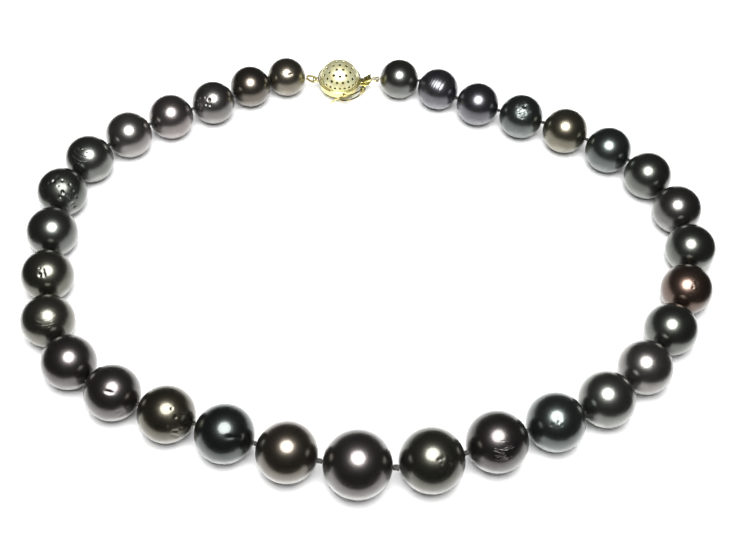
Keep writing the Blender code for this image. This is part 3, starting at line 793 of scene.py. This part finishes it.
def build_latch(material):
    """Safety latch: rolled sleeve on the pivot, a long wire loop over the stud and a thumb tail."""
    pivot = clasp_local(next(Vector(j["pos_m"]) for j in frame["joints"] if j["name"] == "latch_swing"))
    wire = 0.2 * MM
    half = 0.5 * MM
    edge = 0.07 * MM
    inner, outer = 0.45 * MM, 0.72 * MM
    sleeve = revolve("sleeve", [
        (inner, half - edge), (inner + edge, half), (outer - edge, half), (outer, half - edge),
        (outer, edge - half), (outer - edge, -half), (inner + edge, -half), (inner, edge - half),
    ], 48, closed=True)
    moved(sleeve, Matrix.Translation(pivot))

    def around(angle, radius, rise):
        a = math.radians(angle)
        return Vector((radius * MM * math.cos(a), radius * MM * math.sin(a), pivot.z + rise * MM))

    upper = [(-33, 7.25, 0.3), (-45, 7.2, 0.85), (-62, 7.12, 0.85), (-78, 7.05, 0.85)]
    tip = [(-89, 7.05, 0.4), (-89, 7.05, -0.4)]
    lower = [(a, r, -z) for a, r, z in reversed(upper)]
    loop = tube("loop", smooth_path([around(*p) for p in (*upper, *tip, *lower)], 10, closed=True),
                wire, sides=14, closed=True)
    tail_path = smooth_path([around(-89.5, 7.05, 0.0), around(-96, 7.3, -0.1), around(-102, 7.85, -0.3),
                             around(-108, 8.7, -0.55)], 8)
    swell = wire * (1 + 0.25 * np.sin(np.linspace(0, math.pi, len(tail_path))) ** 2)
    tail = tube("tail", tail_path, swell, sides=14)
    clasp_piece("safety_latch_wire", joined("latch", [sleeve, loop, tail]), material, "latch",
                "safety_latch", sharp=50)


def build_leaf(node, body, material, edge):
    """A flat-sided CAD part with its edges eased."""
    mesh = moved(rounded(cad_copy(node), edge), CLASP.inverted())
    clasp_piece(f"{node}_leaf", mesh, material, body, node, sharp=32)


def build_clasp():
    yellow = gold("gold_yellow", (0.76, 0.73, 0.36), 0.22, 0.38, 0.95)
    dome_gold = gold("gold_dome", (0.85, 0.85, 0.54), 0.42, 0.54, 0.78)
    # Near-black gold for the dome's inside: painted shade in the dome and its holes.
    inside = gold("gold_painted_shade_inside", (0.045, 0.038, 0.012), 0.5, 0.6)
    # A darker copy of the same gold, for the stud and the latch.
    dark_copy_gold = gold("gold_dark_copy", (0.32, 0.285, 0.125), 0.18, 0.32)
    # The ribbed thumb tab's gold, with painted shade in the hollows between its ribs.
    ribbed = gold("gold_ribbed", (0.72, 0.69, 0.34), 0.24, 0.38, groove_shade_factor=0.2)
    build_dome(dome_gold, inside)
    build_base(yellow)
    build_ring("clasp_rim_bead", "clasp_rim", "clasp_box", yellow)
    build_ring("box_eyelet_ring", "box_eyelet", "clasp_box", yellow)
    build_ring("tongue_ring", "tongue_end_ring", "tongue", yellow)
    build_stud(dark_copy_gold)
    build_latch(dark_copy_gold)
    build_leaf("tongue_plate", "tongue", yellow, 0.05 * MM)
    build_leaf("tongue_spring", "tongue_leaf", yellow, 0.05 * MM)
    build_leaf("tongue_thumb_tab", "tongue_leaf", ribbed, 0.05 * MM)


# Studio ------------------------------------------------------------------------------------------
def build_floor():
    """White card. The camera sees it everywhere; in a mirror it ends where the real card ends."""
    size = 3.0
    mesh = mesh_of("floor", [(-size, -size, 0), (size, -size, 0), (size, size, 0), (-size, size, 0)],
                   [(0, 1, 2, 3)])
    n = Nodes("floor_card")
    place = n.add("ShaderNodeNewGeometry").outputs["Position"]
    split = n.add("ShaderNodeSeparateXYZ")
    n.wire(place, split.inputs[0])
    soft = 0.004
    mask = None
    for axis, low, high in ((0, CARD_LOW[0], CARD_HIGH[0]), (1, CARD_LOW[1], CARD_HIGH[1])):
        value = split.outputs[axis]
        inside = n.math("MULTIPLY", n.span(value, low - soft, low + soft), n.span(value, high - soft, high + soft,
                                                                                  1.0, 0.0))
        mask = inside if mask is None else n.math("MULTIPLY", mask, inside)
    camera_ray = n.add("ShaderNodeLightPath").outputs["Is Camera Ray"]
    seen = n.math("MAXIMUM", camera_ray, mask)
    n.wire(n.blend(seen, (0.03, 0.03, 0.03), (0.86, 0.86, 0.86)), n.bsdf.inputs["Base Color"])
    n.bsdf.inputs["Roughness"].default_value = 0.1
    n.wire(n.math("MULTIPLY", mask, 0.5), n.bsdf.inputs["Specular IOR Level"])
    flat = n.add("ShaderNodeVectorMath", operation="LENGTH")
    n.wire(place, flat.inputs[0])
    glow = n.math("MULTIPLY", n.span(flat.outputs["Value"], GLOW_START, GLOW_END), camera_ray)
    n.bsdf.inputs["Emission Color"].default_value = (1.0, 1.0, 1.0, 1.0)
    n.wire(glow, n.bsdf.inputs["Emission Strength"])
    floor = bpy.data.objects.new("floor", mesh)
    bpy.context.scene.collection.objects.link(floor)
    mesh.materials.append(n.mat)


def build_world():
    world = bpy.data.worlds.new("studio")
    world.use_nodes = True
    tree = world.node_tree
    back = tree.nodes["Background"]
    paths = tree.nodes.new("ShaderNodeLightPath")
    mix = tree.nodes.new("ShaderNodeMix")
    mix.data_type = "RGBA"
    mix.inputs[6].default_value = (ROOM_GREY, ROOM_GREY, ROOM_GREY, 1)
    mix.inputs[7].default_value = (1.0, 1.0, 1.0, 1)
    tree.links.new(paths.outputs["Is Camera Ray"], mix.inputs[0])
    tree.links.new(mix.outputs[2], back.inputs["Color"])
    bpy.context.scene.world = world


def add_light(name, kind, place, aim, **values):
    data = bpy.data.lights.new(name, kind)
    for key, value in values.items():
        setattr(data, key, value)
    obj = bpy.data.objects.new(name, data)
    bpy.context.scene.collection.objects.link(obj)
    obj.location = place
    obj.rotation_mode = "QUATERNION"
    obj.rotation_quaternion = (aim - place).to_track_quat("-Z", "Y")
    obj.visible_camera = False
    return obj


def build_lights():
    add_light("softbox", "AREA", SOFTBOX_PLACE, Vector(), shape="DISK", size=SOFTBOX_SIZE,
              energy=SOFTBOX_POWER)
    fill = add_light("fill", "SUN", Vector((-0.3, 0.7, 1.0)), Vector(), energy=FILL_STRENGTH,
                     angle=math.radians(60))
    fill.visible_glossy = False


def build_camera():
    forward = Vector((0, math.cos(CAMERA_PITCH), -math.sin(CAMERA_PITCH)))
    right = Vector((1, 0, 0))
    down = forward.cross(right)
    c, s = math.cos(CAMERA_ROLL), math.sin(CAMERA_ROLL)
    right, down = c * right + s * down, -s * right + c * down
    data = bpy.data.cameras.new("camera")
    data.lens = CAMERA_LENS
    data.sensor_width = 36.0
    data.clip_start = 0.01
    camera = bpy.data.objects.new("camera", data)
    bpy.context.scene.collection.objects.link(camera)
    basis = Matrix((right, -down, -forward)).transposed().to_4x4()
    camera.matrix_world = Matrix.Translation(CAMERA_PLACE) @ basis
    bpy.context.scene.camera = camera


def build():
    balls = {i: build_pearl(i) for i in range(1, PEARLS + 1)}
    thread = silk("silk_dark")
    for i in range(2, PEARLS + 1, 2):
        build_silk(i, balls, thread)
    gimp = gold("gold_gimp", (0.36, 0.32, 0.11), 0.26, 0.40)
    build_gimp("gimp_left", link_point(0), *balls[1], "box_eyelet", 0.33 * MM, "strand_01", gimp)
    build_gimp("gimp_right", link_point(PEARLS), *balls[PEARLS], "tongue_end_ring", 0.2 * MM,
               "strand_32", gimp)
    build_clasp()
    build_floor()
    build_world()
    build_lights()
    build_camera()
    view = bpy.context.scene.view_settings
    view.view_transform = "Standard"
    view.look = "None"


build()
